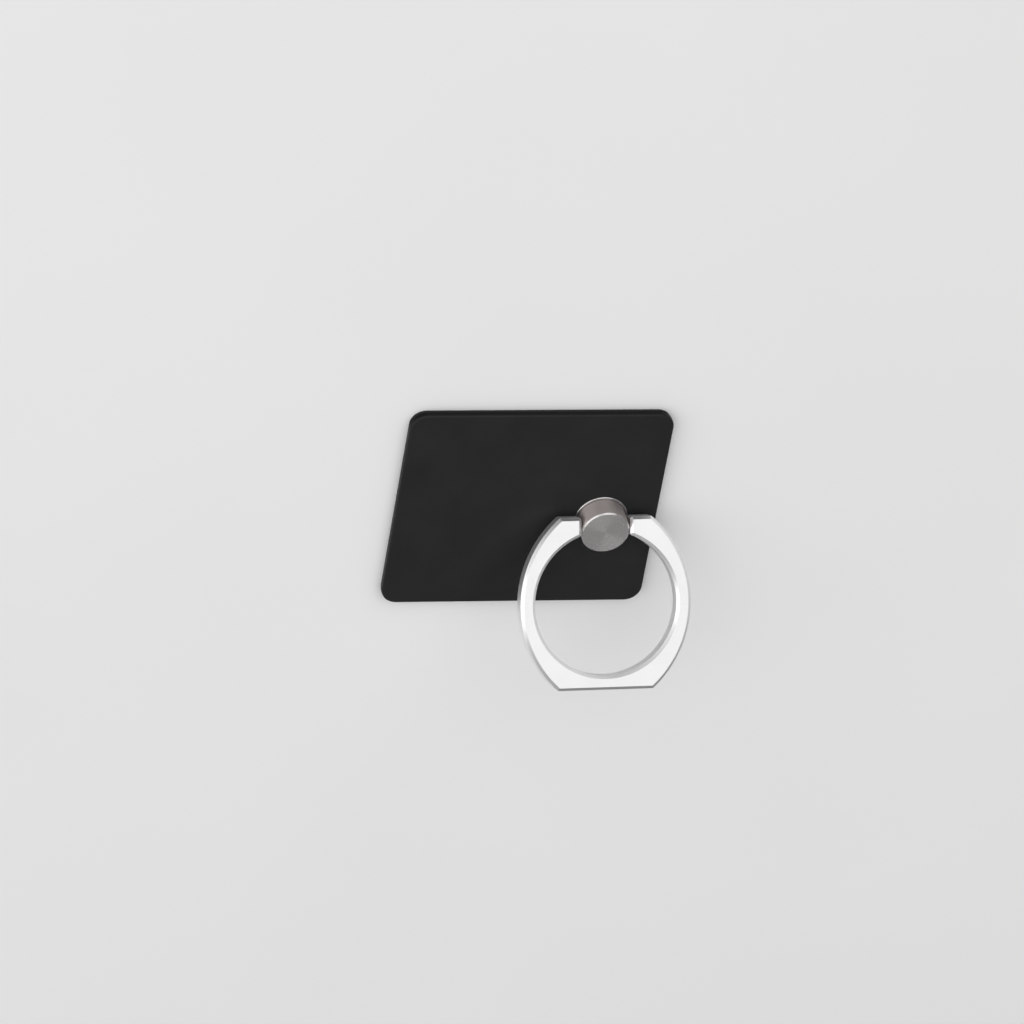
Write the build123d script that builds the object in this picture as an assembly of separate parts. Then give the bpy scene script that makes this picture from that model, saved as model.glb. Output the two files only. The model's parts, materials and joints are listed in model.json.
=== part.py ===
"""Stick-on ring holder: a plate with a sticky pad, a swivelling post and a flat finger ring.

Millimetres. The origin is the centre of the sticky face, +Z leaves that face through the plate,
+X runs along the plate's long side and the ring leans out over the -Y edge.
"""

import math
import os

from build123d import *

# Plate
plate_length = 40.0
plate_width = 35.0
plate_thickness = 0.9
plate_corner_radius = 2.5
plate_edge_round = 0.3

# Adhesive pad under the plate
pad_thickness = 0.7
pad_inset = 0.15

# Place of the post on the plate, and how far it stands turned
post_to_side_edge = 8.5
post_below_centre = 1.8
post_turn_angle = 1.3

# Turned post with its shank and swaged tail
post_diameter = 7.3
post_height = 3.5
post_top_bevel = 0.2
post_foot_bevel = 0.1
shank_diameter = 4.0
tail_diameter = 5.6
tail_thickness = 0.3
tail_edge_bevel = 0.1

# Washers that let the post turn stiffly in the plate
slip_washer_diameter = 8.1
slip_washer_thickness = 0.2
slip_washer_bevel = 0.08
spring_washer_diameter = 7.6
spring_washer_thickness = 0.2
spring_washer_rise = 0.1
backing_washer_diameter = 6.6
backing_washer_thickness = 0.2
washer_pocket_depth = 0.45

# Hinge pin
pin_diameter = 1.0
pin_to_ring_end = 1.85
pin_depth_in_ring = 2.0
pin_end_bevel = 0.15

# Finger ring, a flat ring squared off at its two ends and split at the post
ring_bore = 21.6
ring_side_width = 2.2
ring_end_width = 2.1
ring_top_flat = 13.9
ring_foot_flat = 14.5
ring_depth = 3.0
ring_edge_bevel = 0.45
ring_corner_round = 0.5
ring_lift_angle = 32.0

# Clearances
shank_clearance = 0.05
washer_clearance = 0.05
pocket_clearance = 0.3
ring_gap_clearance = 0.08
ring_swing_clearance = 0.1
pin_fit_in_post = 0.01
pin_play_in_ring = 0.04
pin_end_play = 0.2

# Levels, counted up from the sticky face
plate_underside = pad_thickness
plate_face = plate_underside + plate_thickness
slip_washer_top = plate_face + slip_washer_thickness
post_top = plate_face + post_height
pocket_ceiling = plate_underside + washer_pocket_depth
spring_washer_foot = pocket_ceiling - spring_washer_thickness - spring_washer_rise
backing_washer_foot = spring_washer_foot - backing_washer_thickness
tail_foot = backing_washer_foot - tail_thickness

# Radii
post_radius = post_diameter / 2
shank_radius = shank_diameter / 2
shank_hole_radius = shank_radius + shank_clearance
washer_hole_radius = shank_radius + washer_clearance
slip_washer_radius = slip_washer_diameter / 2
pocket_radius = spring_washer_diameter / 2 + pocket_clearance

# Places
post_x = plate_length / 2 - post_to_side_edge
post_y = -post_below_centre
post_axis = Pos(post_x, post_y, 0) * Rot(0, 0, post_turn_angle)
ring_gap_half = post_radius + ring_gap_clearance
ring_half_width = ring_bore / 2 + ring_side_width
ring_half_height = ring_bore / 2 + ring_end_width
ring_half_depth = ring_depth / 2
ring_centre_drop = ring_half_height - pin_to_ring_end

# The pin stands just high enough for both corners of the ring's bevelled end to swing past the slip washer
ring_end_reach = max(
    math.hypot(pin_to_ring_end, ring_half_depth - ring_edge_bevel),
    math.hypot(pin_to_ring_end - ring_edge_bevel, ring_half_depth),
)
pin_level = slip_washer_top + ring_swing_clearance + ring_end_reach
hinge = post_axis * Pos(0, 0, pin_level)


def slab(length, width, corner, bottom, height):
    """A flat plate with rounded corners, standing on the level called bottom."""
    outline = RectangleRounded(length, width, corner)
    return extrude(Pos(0, 0, bottom) * outline, amount=height)


def disc(radius, bottom, height):
    """A round disc on the post's axis."""
    return extrude(post_axis * Pos(0, 0, bottom) * Circle(radius), amount=height)


def turned(points):
    """A solid of revolution about the post's axis, from points of radius and level."""
    corners = [(radius, 0, level) for radius, level in points]
    profile = make_face(Polyline(*corners, close=True))
    return post_axis * revolve(profile, axis=Axis.Z, revolution_arc=360)


def base_plate():
    """Flat plate with a soft front edge, a hole for the shank and a pocket for the washers."""
    plate = slab(plate_length, plate_width, plate_corner_radius, plate_underside, plate_thickness)
    front_edges = plate.edges().group_by(Axis.Z)[-1]
    plate = fillet(front_edges, radius=plate_edge_round)
    plate -= disc(shank_hole_radius, plate_underside, plate_thickness)
    plate -= disc(pocket_radius, plate_underside, washer_pocket_depth)
    return plate


def adhesive_pad():
    """Foam pad, a little smaller than the plate and open under the post's tail."""
    pad = slab(
        plate_length - 2 * pad_inset,
        plate_width - 2 * pad_inset,
        plate_corner_radius - pad_inset,
        0,
        pad_thickness,
    )
    return pad - disc(pocket_radius, 0, pad_thickness)


def swivel_post():
    """Round post turned in one piece with its shank, swaged below and cross-drilled for the pin."""
    tail_radius = tail_diameter / 2
    post = turned(
        [
            (0, tail_foot),
            (tail_radius - tail_edge_bevel, tail_foot),
            (tail_radius, tail_foot + tail_edge_bevel),
            (tail_radius, backing_washer_foot),
            (shank_radius, backing_washer_foot),
            (shank_radius, slip_washer_top),
            (post_radius - post_foot_bevel, slip_washer_top),
            (post_radius, slip_washer_top + post_foot_bevel),
            (post_radius, post_top - post_top_bevel),
            (post_radius - post_top_bevel, post_top),
            (0, post_top),
        ]
    )
    return post - pin_cylinder(pin_diameter / 2 + pin_fit_in_post, post_radius)


def slip_washer():
    """Thin bright washer that the post stands on, a little wider than the post."""
    return turned(
        [
            (washer_hole_radius, plate_face),
            (slip_washer_radius, plate_face),
            (slip_washer_radius, slip_washer_top - slip_washer_bevel),
            (slip_washer_radius - slip_washer_bevel, slip_washer_top),
            (washer_hole_radius, slip_washer_top),
        ]
    )


def spring_washer():
    """Shallow cone of spring steel, its rim against the plate and its middle on the backing washer."""
    rim = spring_washer_diameter / 2
    rim_foot = spring_washer_foot + spring_washer_rise
    return turned(
        [
            (washer_hole_radius, spring_washer_foot),
            (rim, rim_foot),
            (rim, pocket_ceiling),
            (washer_hole_radius, spring_washer_foot + spring_washer_thickness),
        ]
    )


def backing_washer():
    """Flat washer that the tail is swaged against."""
    rim = backing_washer_diameter / 2
    return turned(
        [
            (washer_hole_radius, backing_washer_foot),
            (rim, backing_washer_foot),
            (rim, spring_washer_foot),
            (washer_hole_radius, spring_washer_foot),
        ]
    )


def pin_cylinder(radius, half_length):
    """A cylinder along the hinge axis, centred on the post."""
    end_view = hinge * Rot(0, 90, 0) * Circle(radius)
    return extrude(end_view, amount=half_length, both=True)


def pivot_pin():
    """Straight pin through the post, its ends standing out into the ring."""
    pin = pin_cylinder(pin_diameter / 2, ring_gap_half + pin_depth_in_ring)
    rims = pin.edges().filter_by(GeomType.CIRCLE)
    return chamfer(rims, length=pin_end_bevel)


def ring_outline():
    """Front view of the ring about the pin: two side arcs, two flats, a round bore and the split."""
    top_right = (ring_top_flat / 2, ring_half_height)
    top_left = (-ring_top_flat / 2, ring_half_height)
    foot_right = (ring_foot_flat / 2, -ring_half_height)
    foot_left = (-ring_foot_flat / 2, -ring_half_height)
    right_side = ThreePointArc(top_right, (ring_half_width, 0), foot_right)
    left_side = ThreePointArc(foot_left, (-ring_half_width, 0), top_left)
    top = Line(top_left, top_right)
    foot = Line(foot_right, foot_left)
    outline = make_face([top, right_side, foot, left_side])
    outline -= Circle(ring_bore / 2)
    split = Rectangle(2 * ring_gap_half, 2 * ring_half_height, align=(Align.CENTER, Align.MIN))
    outline -= split
    outline = fillet(outline.vertices(), radius=ring_corner_round)
    return Pos(0, -ring_centre_drop) * outline


def finger_ring():
    """Cast ring with bevelled edges and a blind hole for the pin in each end of its split."""
    flat_ring = extrude(ring_outline(), amount=ring_half_depth, both=True)
    levels = flat_ring.edges().filter_by(Axis.Z, reverse=True).group_by(Axis.Z)
    flat_ring = chamfer(levels[0] + levels[-1], length=ring_edge_bevel)
    ring = hinge * Rot(-ring_lift_angle, 0, 0) * flat_ring
    hole_reach = ring_gap_half + pin_depth_in_ring + pin_end_play
    return ring - pin_cylinder(pin_diameter / 2 + pin_play_in_ring, hole_reach)


pieces = {
    "base_plate": base_plate(),
    "adhesive_pad": adhesive_pad(),
    "swivel_post": swivel_post(),
    "slip_washer": slip_washer(),
    "spring_washer": spring_washer(),
    "backing_washer": backing_washer(),
    "pivot_pin": pivot_pin(),
    "finger_ring": finger_ring(),
}

os.makedirs("parts", exist_ok=True)
for name, piece in pieces.items():
    export_step(piece, f"parts/{name}.step")
    print(name, round(piece.volume, 2), "cubic mm")
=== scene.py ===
# %% [markdown]
# # A stick-on ring holder
# The real thing is a thin black plate with a foam pad on its back, a short turned steel post that
# swivels in the plate, and a flat silver ring hinged through the post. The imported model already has
# every solid at its real size, so this lesson gives those solids their finishes, models the one soft
# piece, and sets up the camera, the floor and the light.

import json
import math

import bmesh
import bpy
from mathutils import Matrix, Quaternion, Vector


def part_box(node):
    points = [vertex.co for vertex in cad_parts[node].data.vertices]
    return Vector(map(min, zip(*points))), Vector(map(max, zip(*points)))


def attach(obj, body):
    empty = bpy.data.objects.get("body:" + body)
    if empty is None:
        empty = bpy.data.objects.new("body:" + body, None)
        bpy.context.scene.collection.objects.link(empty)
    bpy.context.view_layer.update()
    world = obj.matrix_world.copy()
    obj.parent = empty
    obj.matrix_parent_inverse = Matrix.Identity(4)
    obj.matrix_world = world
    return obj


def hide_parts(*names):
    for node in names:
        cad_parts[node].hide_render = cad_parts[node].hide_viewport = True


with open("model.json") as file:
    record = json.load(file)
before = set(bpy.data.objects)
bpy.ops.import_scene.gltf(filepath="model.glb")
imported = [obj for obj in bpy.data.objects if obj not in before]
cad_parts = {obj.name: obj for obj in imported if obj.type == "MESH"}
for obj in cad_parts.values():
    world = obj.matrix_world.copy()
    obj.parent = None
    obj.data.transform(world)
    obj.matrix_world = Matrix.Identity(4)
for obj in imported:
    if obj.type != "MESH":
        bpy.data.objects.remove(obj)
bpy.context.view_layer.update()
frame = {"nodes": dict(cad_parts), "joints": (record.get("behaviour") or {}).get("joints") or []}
nodes = frame["nodes"]
print("loaded", sorted(nodes))

# %% [markdown]
# ## Places and sizes
# Lathe marks, thin paint on an edge and the like have to sit where the real metal has them. Typed in
# by hand they would stay behind when a solid changes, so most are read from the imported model. The
# two joints give the post's axis and the hinge line, and the ring lies flat at its lower limit, so
# that limit tells how far it is lifted. The boxes give the outlines of the plate, the pad and the
# post.

# %% Read places and sizes from the frame
MM = 0.001
joints = {joint["name"]: joint for joint in frame["joints"]}
post_axis = Vector(joints["post_swivel"]["pos_m"])
hinge_point = Vector(joints["ring_hinge"]["pos_m"])
hinge_axis = Vector(joints["ring_hinge"]["axis"])
post_turn = math.atan2(-hinge_axis.y, -hinge_axis.x)
ring_lift = math.radians(-joints["ring_hinge"]["range_deg"][0])
plate_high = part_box("base_plate")[1]
pad_low, pad_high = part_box("adhesive_pad")
post_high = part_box("swivel_post")[1]
print("post axis", post_axis, "hinge", hinge_point)
print("post turned", round(math.degrees(post_turn), 1), "degrees")
print("ring lifted", round(math.degrees(ring_lift), 1), "degrees")

# %% [markdown]
# ## Camera
# The picture looks down on the plate from beyond its upper edge, with the ring's foot towards the
# bottom of the image, so the camera is rolled well round about its own line of sight. A long lens
# from over a metre away keeps the perspective as gentle as it is in the photograph.

# %% Place the camera
CAMERA_AZIMUTH = math.radians(202.4)
CAMERA_ELEVATION = math.radians(49.46)
CAMERA_ROLL = math.radians(162.1)
CAMERA_DISTANCE = 1.2123
CAMERA_LENS = 288.2
CAMERA_SENSOR = 36.0
CAMERA_AIM = Vector((-2.22, -0.63, 1.37)) * MM
NEAREST_SEEN = 0.01
FARTHEST_SEEN = 20.0


def photo_camera():
    """A camera on a sphere about its aim point, turned about its line of sight."""
    level = math.cos(CAMERA_ELEVATION)
    to_camera = Vector(
        (
            math.sin(CAMERA_AZIMUTH) * level,
            -math.cos(CAMERA_AZIMUTH) * level,
            math.sin(CAMERA_ELEVATION),
        )
    )
    lens = bpy.data.cameras.new("photo_camera")
    lens.sensor_width = CAMERA_SENSOR
    lens.lens = CAMERA_LENS
    lens.clip_start = NEAREST_SEEN
    lens.clip_end = FARTHEST_SEEN
    camera = bpy.data.objects.new("photo_camera", lens)
    camera.location = CAMERA_AIM + to_camera * CAMERA_DISTANCE
    before_roll = (-to_camera).to_track_quat("-Z", "Y")
    camera.rotation_mode = "QUATERNION"
    camera.rotation_quaternion = before_roll @ Quaternion((0, 0, 1), CAMERA_ROLL)
    bpy.context.scene.collection.objects.link(camera)
    bpy.context.scene.camera = camera
    return camera


print("camera at", photo_camera().location)

# %% [markdown]
# ## Building finishes from nodes
# Every finish here is worked out by nodes, with no pictures, so it stays sharp at any distance. Node
# code soon gets long, and a few small helpers keep it readable. The first two add a node and fill
# one of its sockets.

# %% Add and fill nodes


def add(tree, kind, **settings):
    """A new shader node of that kind, with its own options set."""
    node = tree.nodes.new("ShaderNode" + kind)
    for option, value in settings.items():
        setattr(node, option, value)
    return node


def feed(tree, socket, value):
    """Links another node's output into a socket, or writes a plain number or colour there."""
    if isinstance(value, bpy.types.NodeSocket):
        tree.links.new(value, socket)
    else:
        socket.default_value = value


# %% [markdown]
# Next come helpers for numbers: one sum, a change of range, a fade from 0 to 1, a number between two
# others, and the three coordinates of a place.

# %% Work with numbers


def sums(tree, operation, *values):
    """One Math node, and its answer."""
    node = add(tree, "Math", operation=operation)
    for socket, value in zip(node.inputs, values):
        feed(tree, socket, value)
    return node.outputs["Value"]


def remap(tree, value, before, after, smooth=False):
    """Stretches a value from the range before to the range after, and holds it inside that."""
    node = add(tree, "MapRange", interpolation_type="SMOOTHSTEP" if smooth else "LINEAR")
    feed(tree, node.inputs["Value"], value)
    for label, number in zip(("From Min", "From Max", "To Min", "To Max"), (*before, *after)):
        feed(tree, node.inputs[label], number)
    return node.outputs["Result"]


def fade(tree, value, start, stop, smooth=False):
    """0 up to the start, 1 from the stop on, and rising in between."""
    return remap(tree, value, (start, stop), (0.0, 1.0), smooth)


def between(tree, amount, first, second):
    """The first number where the amount is 0, the second where it is 1."""
    return remap(tree, amount, (0.0, 1.0), (first, second))


def average(tree, first, second):
    """Half of one value and half of another."""
    return sums(tree, "MULTIPLY", sums(tree, "ADD", first, second), 0.5)


def axes(tree, place):
    """The X, Y and Z of a place, each by its name."""
    node = add(tree, "SeparateXYZ")
    feed(tree, node.inputs["Vector"], place)
    return node.outputs


# %% [markdown]
# The last helpers mix two colours, start a fresh finish and put it on a solid. Blender's Mix node
# keeps sockets for numbers, vectors and colours side by side under the same names, so the colour
# ones are picked by their number.

# %% Mix colours, start a finish and wear it
MIX_FIRST_COLOUR = 6
MIX_SECOND_COLOUR = 7
MIX_MIXED_COLOUR = 2


def mix_colours(tree, amount, first, second):
    """A colour between two others."""
    node = add(tree, "Mix", data_type="RGBA")
    feed(tree, node.inputs["Factor"], amount)
    feed(tree, node.inputs[MIX_FIRST_COLOUR], first)
    feed(tree, node.inputs[MIX_SECOND_COLOUR], second)
    return node.outputs[MIX_MIXED_COLOUR]


def new_finish(name):
    """A material with only its output and its main shader, plus the place on the piece."""
    material = bpy.data.materials.new(name)
    material.use_nodes = True
    tree = material.node_tree
    tree.nodes.clear()
    output = add(tree, "OutputMaterial")
    shader = add(tree, "BsdfPrincipled")
    tree.links.new(shader.outputs["BSDF"], output.inputs["Surface"])
    place = add(tree, "TexCoord").outputs["Object"]
    return material, tree, shader, place


def wear_finish(node_name, material):
    """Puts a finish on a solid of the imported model, in place of its plain colour."""
    solid = nodes[node_name]
    for slot in solid.material_slots:
        slot.material = material
    print(node_name, "wears", material.name)


# %% [markdown]
# ## Shared effects
# Several finishes need the same few effects. Each is built once as a node group with named inputs,
# and each finish then places it with its own sizes.

# %% Node group helpers
NOISE_MIDDLE = (0.25, 0.75)


def new_group(name, inputs, outputs):
    """An empty shader group with named sockets, and its two end nodes."""
    group = bpy.data.node_groups.new(name, "ShaderNodeTree")
    for label, kind in inputs:
        group.interface.new_socket(label, in_out="INPUT", socket_type="NodeSocket" + kind)
    for label, kind in outputs:
        group.interface.new_socket(label, in_out="OUTPUT", socket_type="NodeSocket" + kind)
    return group, group.nodes.new("NodeGroupInput"), group.nodes.new("NodeGroupOutput")


def spread_noise(group, noise):
    """Noise mostly stays near its middle, so that middle is spread out over 0 to 1."""
    return fade(group, noise.outputs["Fac"], *NOISE_MIDDLE)


def use(tree, group, **values):
    """Places a group in a material and fills its inputs."""
    node = add(tree, "Group", node_tree=group)
    for label, value in values.items():
        feed(tree, node.inputs[label], value)
    return node.outputs[0]


# %% [markdown]
# "speckle" is noise whose lumps have a real size in metres. It makes the grain of a coat, stains and
# faint clouds.

# %% Speckle of a real size


def speckle_group():
    """Even noise from 0 to 1 with lumps of the given size."""
    group, start, end = new_group(
        "speckle",
        [("Place", "Vector"), ("Size", "Float"), ("Detail", "Float")],
        [("Speckle", "Float")],
    )
    noise = add(group, "TexNoise")
    feed(group, noise.inputs["Vector"], start.outputs["Place"])
    feed(group, noise.inputs["Scale"], sums(group, "DIVIDE", 1.0, start.outputs["Size"]))
    feed(group, noise.inputs["Detail"], start.outputs["Detail"])
    group.links.new(spread_noise(group, noise), end.inputs["Speckle"])
    return group


speckle = speckle_group()
print("group", speckle.name, [item.name for item in speckle.interface.items_tree])

# %% [markdown]
# "lathe_lines" are the fine grooves that a cutting tool leaves on turned metal. Rings painted on the
# end faces would need a second set of bands for the sides. Counting radius and height together gives
# both at once: the grooves run round the axis on the ends and on the sides alike.

# %% Lathe lines about the Z axis
MARK_DETAIL = 3.0


def lathe_lines_group():
    """Uneven grooves from 0 to 1 about the Z axis, one about every pitch."""
    group, start, end = new_group(
        "lathe_lines", [("Place", "Vector"), ("Pitch", "Float")], [("Groove", "Float")]
    )
    along = axes(group, start.outputs["Place"])
    squares = [sums(group, "POWER", along[axis], 2.0) for axis in ("X", "Y")]
    radius = sums(group, "SQRT", sums(group, "ADD", *squares))
    travel = sums(group, "ADD", radius, along["Z"])
    noise = add(group, "TexNoise", noise_dimensions="1D")
    feed(group, noise.inputs["W"], sums(group, "DIVIDE", travel, start.outputs["Pitch"]))
    feed(group, noise.inputs["Scale"], 1.0)
    feed(group, noise.inputs["Detail"], MARK_DETAIL)
    group.links.new(spread_noise(group, noise), end.inputs["Groove"])
    return group


lathe_lines = lathe_lines_group()
print("group", lathe_lines.name, [item.name for item in lathe_lines.interface.items_tree])

# %% [markdown]
# "hairlines" are the straight marks of rolling or polishing. They are noise that is stretched along
# one axis until its lumps become fine lines.

# %% Straight hairlines along the X axis


def hairlines_group():
    """Fine marks from 0 to 1 that run along X, each about as long and as wide as asked."""
    group, start, end = new_group(
        "hairlines",
        [("Place", "Vector"), ("Length", "Float"), ("Width", "Float")],
        [("Mark", "Float")],
    )
    along = axes(group, start.outputs["Place"])
    stretched = add(group, "CombineXYZ")
    for axis, size in (("X", "Length"), ("Y", "Width"), ("Z", "Width")):
        counted = sums(group, "DIVIDE", along[axis], start.outputs[size])
        feed(group, stretched.inputs[axis], counted)
    noise = add(group, "TexNoise")
    feed(group, noise.inputs["Vector"], stretched.outputs["Vector"])
    feed(group, noise.inputs["Scale"], 1.0)
    feed(group, noise.inputs["Detail"], MARK_DETAIL)
    group.links.new(spread_noise(group, noise), end.inputs["Mark"])
    return group


hairlines = hairlines_group()
print("group", hairlines.name, [item.name for item in hairlines.interface.items_tree])

# %% [markdown]
# "edge_of_slab" tells how near a point is to the outline of a plate with rounded corners. A mask
# painted by hand would do for one plate only. The distance to a rounded rectangle is a short sum and
# fits a plate of any size.

# %% Nearness to the outline of a rounded slab


def edge_of_slab_group():
    """0 inside a slab with rounded corners, rising to 1 over a band at its outline."""
    group, start, end = new_group(
        "edge_of_slab",
        [
            ("Place", "Vector"),
            ("Half Length", "Float"),
            ("Half Width", "Float"),
            ("Corner", "Float"),
            ("Band", "Float"),
        ],
        [("Edge", "Float")],
    )
    along = axes(group, start.outputs["Place"])
    beyond = []
    for axis, half in (("X", "Half Length"), ("Y", "Half Width")):
        inner = sums(group, "SUBTRACT", start.outputs[half], start.outputs["Corner"])
        beyond.append(sums(group, "SUBTRACT", sums(group, "ABSOLUTE", along[axis]), inner))
    outward = [sums(group, "MAXIMUM", distance, 0.0) for distance in beyond]
    squares = [sums(group, "POWER", distance, 2.0) for distance in outward]
    outside = sums(group, "SQRT", sums(group, "ADD", *squares))
    inside = sums(group, "MINIMUM", sums(group, "MAXIMUM", *beyond), 0.0)
    reach = sums(group, "SUBTRACT", sums(group, "ADD", outside, inside), start.outputs["Corner"])
    fade_from = sums(group, "MULTIPLY", start.outputs["Band"], -1.0)
    group.links.new(fade(group, reach, fade_from, 0.0, smooth=True), end.inputs["Edge"])
    return group


edge_of_slab = edge_of_slab_group()
print("group", edge_of_slab.name, [item.name for item in edge_of_slab.interface.items_tree])

# %% [markdown]
# ## The plate's satin black coat
# The plate is steel with a baked black coat. Close up such a coat has a fine orange-peel grain and a
# slight cloudiness. Its rounded front edge is a little paler, partly a thinner coat and partly a
# painted sheen, and its sides are painted near black as shade. The grain is bump, the cloudiness
# moves colour and gloss, and the edge comes from the slab's outline and the height above its sides.

# %% Coat the plate
PLATE_CORNER = 2.5 * MM
PLATE_EDGE_BAND = 0.32 * MM
COAT_DEEP = (0.0200, 0.0200, 0.0204, 1.0)
COAT_PALE = (0.0305, 0.0305, 0.0310, 1.0)
# Painted sheen, partly thin coat: the rounded front edge is a little paler.
COAT_PALE_EDGE_AND_SHEEN = (0.039, 0.039, 0.040, 1.0)
# Painted shade: the plate's sides are far darker than its face.
COAT_SHADED_WALL = (0.0020, 0.0020, 0.0021, 1.0)
COAT_GRAIN = 0.16 * MM
COAT_GRAIN_DEPTH = 0.012 * MM
COAT_GRAIN_STRENGTH = 0.25
COAT_CLOUD = 7.0 * MM
COAT_EDGE_THIN_AND_SHEEN = (0.35, 0.80)
COAT_ROUGHNESS = (0.36, 0.45)
COAT_SHINE = 0.10


def bump(tree, shader, height, strength, depth):
    """Raises the surface by a height from 0 to 1, at most depth metres."""
    node = add(tree, "Bump")
    feed(tree, node.inputs["Height"], height)
    feed(tree, node.inputs["Strength"], strength)
    feed(tree, node.inputs["Distance"], depth)
    tree.links.new(node.outputs["Normal"], shader.inputs["Normal"])


def satin_black_coat():
    """Black coat: grain, clouds, a paler edge (thin coat and painted sheen), sides in painted shade.
    """
    material, tree, shader, place = new_finish("satin_black_coat")
    clouds = use(tree, speckle, Place=place, Size=COAT_CLOUD, Detail=4.0)
    grain = use(tree, speckle, Place=place, Size=COAT_GRAIN, Detail=2.0)
    outline = {"Half Length": plate_high.x, "Half Width": plate_high.y, "Corner": PLATE_CORNER}
    edge = use(tree, edge_of_slab, Place=place, Band=PLATE_EDGE_BAND, **outline)
    height = axes(tree, place)["Z"]
    # Painted shade: below the front, the sides take the near-black wall colour.
    front_not_shaded = fade(tree, height, plate_high.z - PLATE_EDGE_BAND, plate_high.z)
    # The paler edge is partly a thin coat and partly a painted sheen.
    thin_edge_and_sheen = sums(tree, "MULTIPLY", edge, between(tree, clouds, *COAT_EDGE_THIN_AND_SHEEN))
    body = mix_colours(tree, sums(tree, "MULTIPLY", clouds, grain), COAT_DEEP, COAT_PALE)
    face = mix_colours(tree, thin_edge_and_sheen, body, COAT_PALE_EDGE_AND_SHEEN)
    feed(tree, shader.inputs["Base Color"], mix_colours(tree, front_not_shaded, COAT_SHADED_WALL, face))
    feed(tree, shader.inputs["Roughness"], between(tree, clouds, *COAT_ROUGHNESS))
    feed(tree, shader.inputs["Specular IOR Level"], COAT_SHINE)
    bump(tree, shader, grain, COAT_GRAIN_STRENGTH, COAT_GRAIN_DEPTH)
    return material


wear_finish("base_plate", satin_black_coat())

# %% [markdown]
# ## The turned steel of the post
# The post is cut on a lathe from bar, then left satin. The tool leaves fine rings on its faced top,
# and coarser bands on its side. The side's colour is a little darker and warmer, which is painted
# shade and a painted warm reflection. Grooves like these spread a reflection across themselves, so
# the side shows soft upright streaks and looks lighter than the black plate that it mirrors. Bump
# alone would need grooves far finer than a pixel, so the shader's own grain setting does it, turned
# a quarter to lie across the grooves. The bright washer under the post and the hinge pin get the
# same finish, each about its own axis.

# %% Finish the post, the washer under it and the pin
END_DARK = (0.565, 0.550, 0.542, 1.0)
END_PALE = (0.630, 0.614, 0.604, 1.0)
END_ROUGHNESS = (0.29, 0.25)
# Painted shade and a painted warm reflection: the side's colours are darker and warmer than the
# end's.
SIDE_SHADED_DARK = (0.490, 0.442, 0.432, 1.0)
SIDE_SHADED_PALE = (0.565, 0.512, 0.498, 1.0)
SIDE_ROUGHNESS = (0.60, 0.50)
FACED_END = 0.22 * MM
FACED_END_BLEND = 0.022 * MM
STEEL_STAIN = 1.6 * MM
STEEL_GRAIN = 0.9
QUARTER_TURN = 0.25
GROOVE_DEPTH = 0.006 * MM
GROOVE_STRENGTH = 0.03
POST_PITCH = 0.11 * MM
WASHER_PITCH = 0.06 * MM
PIN_PITCH = 0.07 * MM
PIN_END = 5.6 * MM


def centred(tree, place, centre, turn):
    """The place on the piece, counted from a centre and along turned axes."""
    node = add(tree, "Mapping", vector_type="TEXTURE")
    feed(tree, node.inputs["Vector"], place)
    feed(tree, node.inputs["Location"], centre)
    feed(tree, node.inputs["Rotation"], turn)
    return node.outputs["Vector"]


def turned_steel(name, centre, turn, pitch, end_level):
    """Bare steel with lathe grooves about an axis through a centre, finer on its faced end."""
    material, tree, shader, place = new_finish(name)
    own_place = centred(tree, place, centre, turn)
    grooves = use(tree, lathe_lines, Place=own_place, Pitch=pitch)
    stains = use(tree, speckle, Place=place, Size=STEEL_STAIN, Detail=3.0)
    tone = average(tree, grooves, stains)
    face_starts = end_level - FACED_END
    height = axes(tree, own_place)["Z"]
    shaded_coarse_side = remap(tree, height, (face_starts, face_starts + FACED_END_BLEND), (1.0, 0.0))
    end_tone = mix_colours(tree, tone, END_DARK, END_PALE)
    # Painted shade: the side takes the darker, warmer colours.
    shaded_side_tone = mix_colours(tree, tone, SIDE_SHADED_DARK, SIDE_SHADED_PALE)
    feed(tree, shader.inputs["Base Color"], mix_colours(tree, shaded_coarse_side, end_tone, shaded_side_tone))
    satin = between(tree, tone, *END_ROUGHNESS)
    coarse = between(tree, tone, *SIDE_ROUGHNESS)
    feed(tree, shader.inputs["Roughness"], between(tree, shaded_coarse_side, satin, coarse))
    feed(tree, shader.inputs["Metallic"], 1.0)
    feed(tree, shader.inputs["Anisotropic"], STEEL_GRAIN)
    feed(tree, shader.inputs["Anisotropic Rotation"], QUARTER_TURN)
    bump(tree, shader, grooves, GROOVE_STRENGTH, GROOVE_DEPTH)
    return material


not_turned = (0.0, 0.0, 0.0)
along_hinge = (0.0, math.radians(90), post_turn)
post_end = post_high.z - post_axis.z
washer_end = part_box("slip_washer")[1].z - post_axis.z
post_steel = turned_steel("turned_steel_post", post_axis, not_turned, POST_PITCH, post_end)
washer_steel = turned_steel("turned_steel_washer", post_axis, not_turned, WASHER_PITCH, washer_end)
pin_steel = turned_steel("turned_steel_pin", hinge_point, along_hinge, PIN_PITCH, PIN_END)
wear_finish("swivel_post", post_steel)
wear_finish("slip_washer", washer_steel)
wear_finish("pivot_pin", pin_steel)

# %% [markdown]
# ## The two hidden washers
# A spring washer and a flat washer sit in the plate's pocket and show only from below, through the
# pad's round window. They are punched from rolled strip, so their marks run straight across instead
# of round and round.

# %% Finish the hidden washers
STRIP_DARK = (0.36, 0.36, 0.37, 1.0)
STRIP_PALE = (0.47, 0.47, 0.48, 1.0)
STRIP_ROUGHNESS = (0.42, 0.30)
STRIP_MARK_LENGTH = 4.0 * MM
STRIP_MARK_WIDTH = 0.05 * MM
STRIP_MARK_DEPTH = 0.004 * MM
STRIP_MARK_STRENGTH = 0.2


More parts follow.
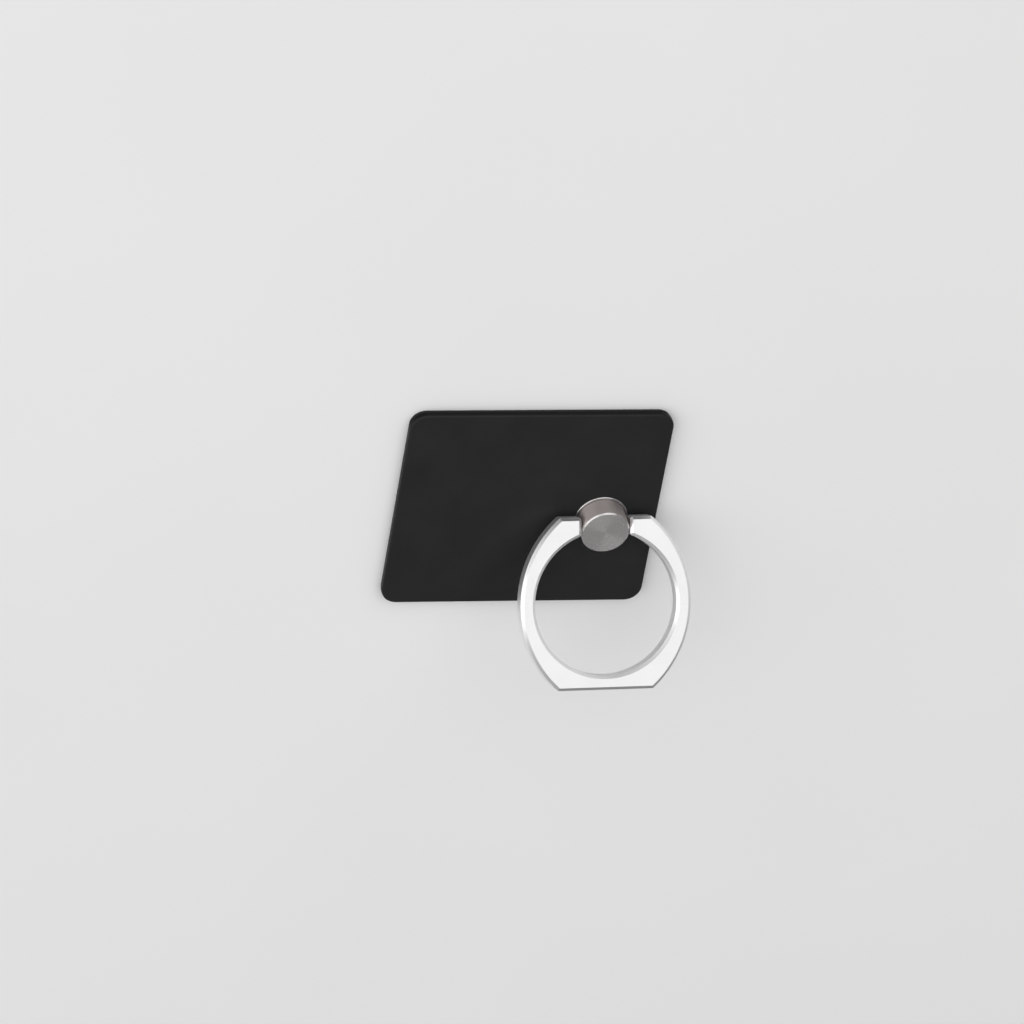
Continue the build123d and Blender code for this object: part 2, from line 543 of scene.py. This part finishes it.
def rolled_strip():
    """Spring strip with straight rolling marks."""
    material, tree, shader, place = new_finish("rolled_strip")
    marks = use(tree, hairlines, Place=place, Length=STRIP_MARK_LENGTH, Width=STRIP_MARK_WIDTH)
    feed(tree, shader.inputs["Base Color"], mix_colours(tree, marks, STRIP_DARK, STRIP_PALE))
    feed(tree, shader.inputs["Roughness"], between(tree, marks, *STRIP_ROUGHNESS))
    feed(tree, shader.inputs["Metallic"], 1.0)
    bump(tree, shader, marks, STRIP_MARK_STRENGTH, STRIP_MARK_DEPTH)
    return material


strip = rolled_strip()
wear_finish("spring_washer", strip)
wear_finish("backing_washer", strip)

# %% [markdown]
# ## The ring's own plane
# The ring stands at a slant, so neither its faces nor its bevels lie along the axes of the frame.
# Turning its points back by the post's turn and the ring's lift lays it flat, and half its depth can
# then be read off.

# %% Measure the ring's depth in its own plane
ring_turn = Matrix.Rotation(post_turn, 4, "Z") @ Matrix.Rotation(-ring_lift, 4, "X")
ring_untilt = ring_turn.inverted() @ Matrix.Translation(-hinge_point)
ring_points = [ring_untilt @ vertex.co for vertex in nodes["finger_ring"].data.vertices]
ring_half_depth = max(point.z for point in ring_points)
print("half the ring's depth in metres", ring_half_depth)

# %% [markdown]
# ## The ring's satin plating
# The ring is a zinc casting, tumbled smooth and plated a pale satin silver. Plating like this has a
# very fine even grain, faint polishing marks, and a little more shine on the bevelled edges, where
# fingers and tumbling rub it most. The bevels could be picked face by face, but they are easier to
# find in the ring's own plane: they lie where the wall ends and the flat face hasn't begun, counted
# from the middle of the ring's depth.

# %% Plate the ring
SILVER_DEEP = (0.91, 0.91, 0.915, 1.0)
SILVER_PALE = (0.96, 0.96, 0.96, 1.0)
SILVER_ROUGHNESS = (0.54, 0.48)
SILVER_GRAIN = 0.09 * MM
SILVER_GRAIN_DEPTH = 0.006 * MM
SILVER_GRAIN_STRENGTH = 0.12
SILVER_CLOUD = 4.0 * MM
POLISH_LENGTH = 5.0 * MM
POLISH_WIDTH = 0.06 * MM
WALL_ENDS = (0.70, 0.76)
FACE_BEGINS = (0.96, 0.99)
RUBBED_SMOOTHER = 0.18


def satin_silver():
    """Pale satin plating with fine grain and slightly polished edges."""
    material, tree, shader, place = new_finish("satin_silver")
    own_place = centred(tree, place, hinge_point, (-ring_lift, 0.0, post_turn))
    grain = use(tree, speckle, Place=place, Size=SILVER_GRAIN, Detail=2.0)
    clouds = use(tree, speckle, Place=place, Size=SILVER_CLOUD, Detail=3.0)
    marks = use(tree, hairlines, Place=own_place, Length=POLISH_LENGTH, Width=POLISH_WIDTH)
    tone = average(tree, clouds, marks)
    from_middle = sums(tree, "ABSOLUTE", axes(tree, own_place)["Z"])
    depth = sums(tree, "DIVIDE", from_middle, ring_half_depth)
    past_wall = fade(tree, depth, *WALL_ENDS)
    short_of_face = remap(tree, depth, FACE_BEGINS, (1.0, 0.0))
    rub = sums(tree, "MULTIPLY", past_wall, short_of_face)
    smoother = sums(tree, "MULTIPLY", rub, RUBBED_SMOOTHER)
    satin = between(tree, tone, *SILVER_ROUGHNESS)
    feed(tree, shader.inputs["Base Color"], mix_colours(tree, tone, SILVER_DEEP, SILVER_PALE))
    feed(tree, shader.inputs["Roughness"], sums(tree, "SUBTRACT", satin, smoother))
    feed(tree, shader.inputs["Metallic"], 1.0)
    bump(tree, shader, grain, SILVER_GRAIN_STRENGTH, SILVER_GRAIN_DEPTH)
    return material


wear_finish("finger_ring", satin_silver())

# %% [markdown]
# ## The foam pad
# The pad is a die-cut sheet of black foam tape, the only soft piece, with a round window under the
# post's tail. A cloth simulation would be wasted on tape this thin, so it is made the way the tape
# is cut: first comes the outline with its rounded corners and its window, filled with faces.

# %% Draw the pad's outline and its window
PAD_CORNER = 2.35 * MM
PAD_WINDOW = 4.1 * MM
PAD_CORNER_STEPS = 12
PAD_WINDOW_STEPS = 96
ROUND_PROFILE = 0.5


def pad_outline(bm):
    """The pad's rounded outline and its round window, filled with faces at the sticky level."""
    bmesh.ops.create_grid(bm, x_segments=1, y_segments=1, size=1.0)
    bmesh.ops.scale(bm, vec=(pad_high.x, pad_high.y, 1.0), verts=bm.verts)
    bmesh.ops.bevel(
        bm,
        geom=bm.verts[:],
        offset=PAD_CORNER,
        offset_type="OFFSET",
        segments=PAD_CORNER_STEPS,
        profile=ROUND_PROFILE,
        affect="VERTICES",
        material=-1,
    )
    bmesh.ops.delete(bm, geom=bm.faces[:], context="FACES_ONLY")
    window_place = Matrix.Translation((post_axis.x, post_axis.y, 0.0))
    bmesh.ops.create_circle(
        bm, cap_ends=False, segments=PAD_WINDOW_STEPS, radius=PAD_WINDOW, matrix=window_place
    )
    bmesh.ops.triangle_fill(bm, use_beauty=True, edges=bm.edges[:])


pad_bm = bmesh.new()
pad_outline(pad_bm)
print("pad outline", len(pad_bm.verts), "points,", len(pad_bm.faces), "faces")

# %% [markdown]
# The cutting blade squeezes the foam, so its sides spring back slightly hollow between two thin
# sticky films. The outline is pulled up to the tape's thickness and its walls are cut into bands;
# drawing those in, most at half height, gives the hollow. Pulling up numbers the new points
# differently from run to run, so points and faces are sorted by their place.

# %% Pull the pad up and hollow its sides
PAD_HOLLOW = 0.07 * MM
PAD_SIDE_CUTS = 5
SORT_WEIGHTS = Vector((1.0, 2.3, 5.7))
pad_height = pad_high.z - pad_low.z


def pull_up(bm):
    """Gives the flat outline the thickness of the tape."""
    sheet = bmesh.ops.extrude_face_region(bm, geom=bm.faces[:])
    top = [item for item in sheet["geom"] if isinstance(item, bmesh.types.BMVert)]
    bmesh.ops.translate(bm, verts=top, vec=(0.0, 0.0, pad_height))
    bmesh.ops.recalc_face_normals(bm, faces=bm.faces[:])


def cut_sides(bm):
    """Cuts the walls into level bands."""
    standing = [e for e in bm.edges if abs(e.verts[0].co.z - e.verts[1].co.z) > pad_height / 2]
    bmesh.ops.subdivide_edges(bm, edges=standing, cuts=PAD_SIDE_CUTS, use_grid_fill=True)


def sort_by_place(bm):
    """Puts points and faces in an order that depends only on where they are."""
    bm.verts.sort(key=lambda point: SORT_WEIGHTS.dot(point.co))
    bm.faces.sort(key=lambda face: SORT_WEIGHTS.dot(face.calc_center_median()))


def hollow_sides(bm):
    """Draws the walls into the foam by a bow: 0 at both films, 1 halfway up."""
    bm.normal_update()
    moves = {}
    for vertex in bm.verts:
        level = (vertex.co.z - pad_low.z) / pad_height
        bow = 4 * level * (1 - level)
        moves[vertex] = vertex.normal * (PAD_HOLLOW * bow)
    for vertex, move in moves.items():
        vertex.co -= Vector((move.x, move.y, 0.0))


pull_up(pad_bm)
cut_sides(pad_bm)
sort_by_place(pad_bm)
hollow_sides(pad_bm)
print("pad", len(pad_bm.verts), "points,", len(pad_bm.faces), "faces")

# %% [markdown]
# ## Foam and film
# Black foam has small open pores on its cut sides and drinks up the light. The two sticky films are
# smooth, a little glossy and faintly mottled where the glue lies thicker. One finish does for both,
# because it changes with height: film at the top and bottom, foam between.

# %% Finish the pad and put it in place
FOAM_DEEP = (0.012, 0.012, 0.013, 1.0)
FOAM_PALE = (0.036, 0.036, 0.038, 1.0)
FOAM_ROUGHNESS = 0.92
FOAM_PORE = 0.14 * MM
FOAM_PORE_DEPTH = 0.05 * MM
FOAM_PORE_STRENGTH = 0.5
FILM = 0.06 * MM
FILM_DEEP = (0.024, 0.024, 0.025, 1.0)
FILM_PALE = (0.046, 0.046, 0.048, 1.0)
FILM_ROUGHNESS = (0.34, 0.50)
FILM_MOTTLE = 1.8 * MM
PAD_SHINE = 0.35


def black_foam():
    """Open black foam between two smooth, mottled sticky films."""
    material, tree, shader, place = new_finish("black_foam")
    pores = add(tree, "TexVoronoi", feature="SMOOTH_F1")
    feed(tree, pores.inputs["Vector"], place)
    feed(tree, pores.inputs["Scale"], 1.0 / FOAM_PORE)
    mottle = use(tree, speckle, Place=place, Size=FILM_MOTTLE, Detail=5.0)
    middle = (pad_low.z + pad_high.z) / 2
    half = pad_height / 2
    above_middle = sums(tree, "SUBTRACT", axes(tree, place)["Z"], middle)
    from_middle = sums(tree, "ABSOLUTE", above_middle)
    film = fade(tree, from_middle, half - 2 * FILM, half - FILM, smooth=True)
    foam = sums(tree, "SUBTRACT", 1.0, film)
    open_pore = sums(tree, "MULTIPLY", foam, pores.outputs["Distance"])
    film_tone = mix_colours(tree, mottle, FILM_DEEP, FILM_PALE)
    foam_tone = mix_colours(tree, open_pore, FOAM_PALE, FOAM_DEEP)
    film_gloss = between(tree, mottle, *FILM_ROUGHNESS)
    feed(tree, shader.inputs["Base Color"], mix_colours(tree, film, foam_tone, film_tone))
    feed(tree, shader.inputs["Roughness"], between(tree, film, FOAM_ROUGHNESS, film_gloss))
    feed(tree, shader.inputs["Specular IOR Level"], PAD_SHINE)
    bump(tree, shader, open_pore, FOAM_PORE_STRENGTH, FOAM_PORE_DEPTH)
    return material


def mesh_object(name, bm, material):
    """Turns a finished bmesh into an object at the origin, with one material."""
    mesh = bpy.data.meshes.new(name)
    bm.to_mesh(mesh)
    bm.free()
    mesh.materials.append(material)
    made = bpy.data.objects.new(name, mesh)
    bpy.context.scene.collection.objects.link(made)
    return made


pad = mesh_object("foam_pad", pad_bm, black_foam())
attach(pad, "base")
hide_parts("adhesive_pad")
print(pad.name, "stands for adhesive_pad")

# %% [markdown]
# ## Stage
# A picture of a small part needs only a pale table. One large square does it, with a trace of
# cloudiness in its tone and its gloss. Seen from below it lets the camera through, and it lets light
# through to whatever lies within a hair of it, so that the sticky face can be looked at too.

# %% Lay the floor
FLOOR_SIZE = 3.0
FLOOR_DROP = 0.02 * MM
FLOOR_HAIR = 1.0 * MM
FLOOR_DEEP = (0.945, 0.945, 0.942, 1.0)
FLOOR_PALE = (0.965, 0.965, 0.962, 1.0)
FLOOR_ROUGHNESS = (0.65, 0.75)
FLOOR_CLOUD = 60.0 * MM
FLOOR_SHINE = 0.2


def pale_table():
    """Matt pale table, clear from its underside and to light from very close by."""
    material, tree, shader, place = new_finish("pale_table")
    clouds = use(tree, speckle, Place=place, Size=FLOOR_CLOUD, Detail=2.0)
    feed(tree, shader.inputs["Base Color"], mix_colours(tree, clouds, FLOOR_DEEP, FLOOR_PALE))
    feed(tree, shader.inputs["Roughness"], between(tree, clouds, *FLOOR_ROUGHNESS))
    feed(tree, shader.inputs["Specular IOR Level"], FLOOR_SHINE)
    below = add(tree, "NewGeometry").outputs["Backfacing"]
    ray_length = add(tree, "LightPath").outputs["Ray Length"]
    close = sums(tree, "LESS_THAN", ray_length, FLOOR_HAIR)
    clear = add(tree, "BsdfTransparent")
    choose = add(tree, "MixShader")
    amount, seen, seen_through = choose.inputs
    feed(tree, amount, sums(tree, "MAXIMUM", below, close))
    feed(tree, seen, shader.outputs["BSDF"])
    feed(tree, seen_through, clear.outputs["BSDF"])
    output = next(node for node in tree.nodes if node.type == "OUTPUT_MATERIAL")
    feed(tree, output.inputs["Surface"], choose.outputs["Shader"])
    return material


floor_bm = bmesh.new()
bmesh.ops.create_grid(floor_bm, x_segments=1, y_segments=1, size=FLOOR_SIZE / 2)
bmesh.ops.translate(floor_bm, verts=floor_bm.verts, vec=(0.0, 0.0, -FLOOR_DROP))
floor = mesh_object("floor", floor_bm, pale_table())
print("floor", FLOOR_SIZE, "m square")

# %% [markdown]
# ## The sky
# Bare metal shows its surroundings more than its own colour, so the surroundings are the light. The
# sky has three levels that fade into one another: low on the far side, dim round about, and bright
# overhead and behind the camera. That gives the ring a clean pale face and leaves the black plate
# dark, where an even sky would grey everything.

# %% Make the sky
SKY_BRIGHT_SIDE = Vector((-0.35, 0.50, 0.79)).normalized()
SKY_LOW = 0.16
SKY_DIM = 0.37
SKY_BRIGHT = 1.05
SKY_LOW_TO_DIM = (-0.30, 0.18)
SKY_DIM_TO_BRIGHT = (0.36, 0.95)


def studio_sky():
    """World light that fades smoothly from a bright side to a dim side and on to a low one."""
    world = bpy.data.worlds.new("studio_sky")
    bpy.context.scene.world = world
    world.use_nodes = True
    tree = world.node_tree
    tree.nodes.clear()
    facing = add(tree, "VectorMath", operation="DOT_PRODUCT")
    feed(tree, facing.inputs[0], add(tree, "TexCoord").outputs["Generated"])
    feed(tree, facing.inputs[1], SKY_BRIGHT_SIDE)
    turned_to = facing.outputs["Value"]
    far_side = remap(tree, turned_to, SKY_LOW_TO_DIM, (SKY_LOW, SKY_DIM), smooth=True)
    extra = SKY_BRIGHT - SKY_DIM
    near_side = remap(tree, turned_to, SKY_DIM_TO_BRIGHT, (0.0, extra), smooth=True)
    background = add(tree, "Background")
    feed(tree, background.inputs["Strength"], sums(tree, "ADD", far_side, near_side))
    feed(tree, background.inputs["Color"], (1.0, 1.0, 1.0, 1.0))
    output = add(tree, "OutputWorld")
    tree.links.new(background.outputs["Background"], output.inputs["Surface"])
    return world


print("sky", studio_sky().name, "from", SKY_LOW, "to", SKY_BRIGHT)

# %% [markdown]
# ## Softboxes
# Two large, dim softboxes stand to the left and the right of the camera. They catch the post's bevel
# and leave a darker streak between their two reflections on its side. A smaller one stands low on
# the left for the ring's bevels that face that way. Small, strong lamps would burn white spots into
# the plating.

# %% Set up the softboxes
SOFTBOX_DISTANCE = 0.60
SOFTBOXES = {
    "left_softbox": {"direction": (-0.68, 0.42, 0.60), "size": 0.50, "watts": 0.45},
    "right_softbox": {"direction": (0.33, 0.73, 0.60), "size": 0.44, "watts": 0.38},
    "low_softbox": {"direction": (-0.95, 0.0, 0.30), "size": 0.30, "watts": 0.34},
}


def softbox(name, direction, size, watts):
    """A square area lamp that points at the part, out of the camera's sight."""
    lamp = bpy.data.lights.new(name, "AREA")
    lamp.size = size
    lamp.energy = watts
    holder = bpy.data.objects.new(name, lamp)
    toward = Vector(direction).normalized()
    holder.location = toward * SOFTBOX_DISTANCE
    holder.rotation_mode = "QUATERNION"
    holder.rotation_quaternion = toward.to_track_quat("Z", "Y")
    holder.visible_camera = False
    bpy.context.scene.collection.objects.link(holder)
    print(name, "at", holder.location)


for name, settings in SOFTBOXES.items():
    softbox(name, **settings)

# %% [markdown]
# ## Finish
# The picture keeps plain colours, so the view transform is the standard one.

# %% Set the view transform and finish
bpy.context.scene.view_settings.view_transform = "Standard"
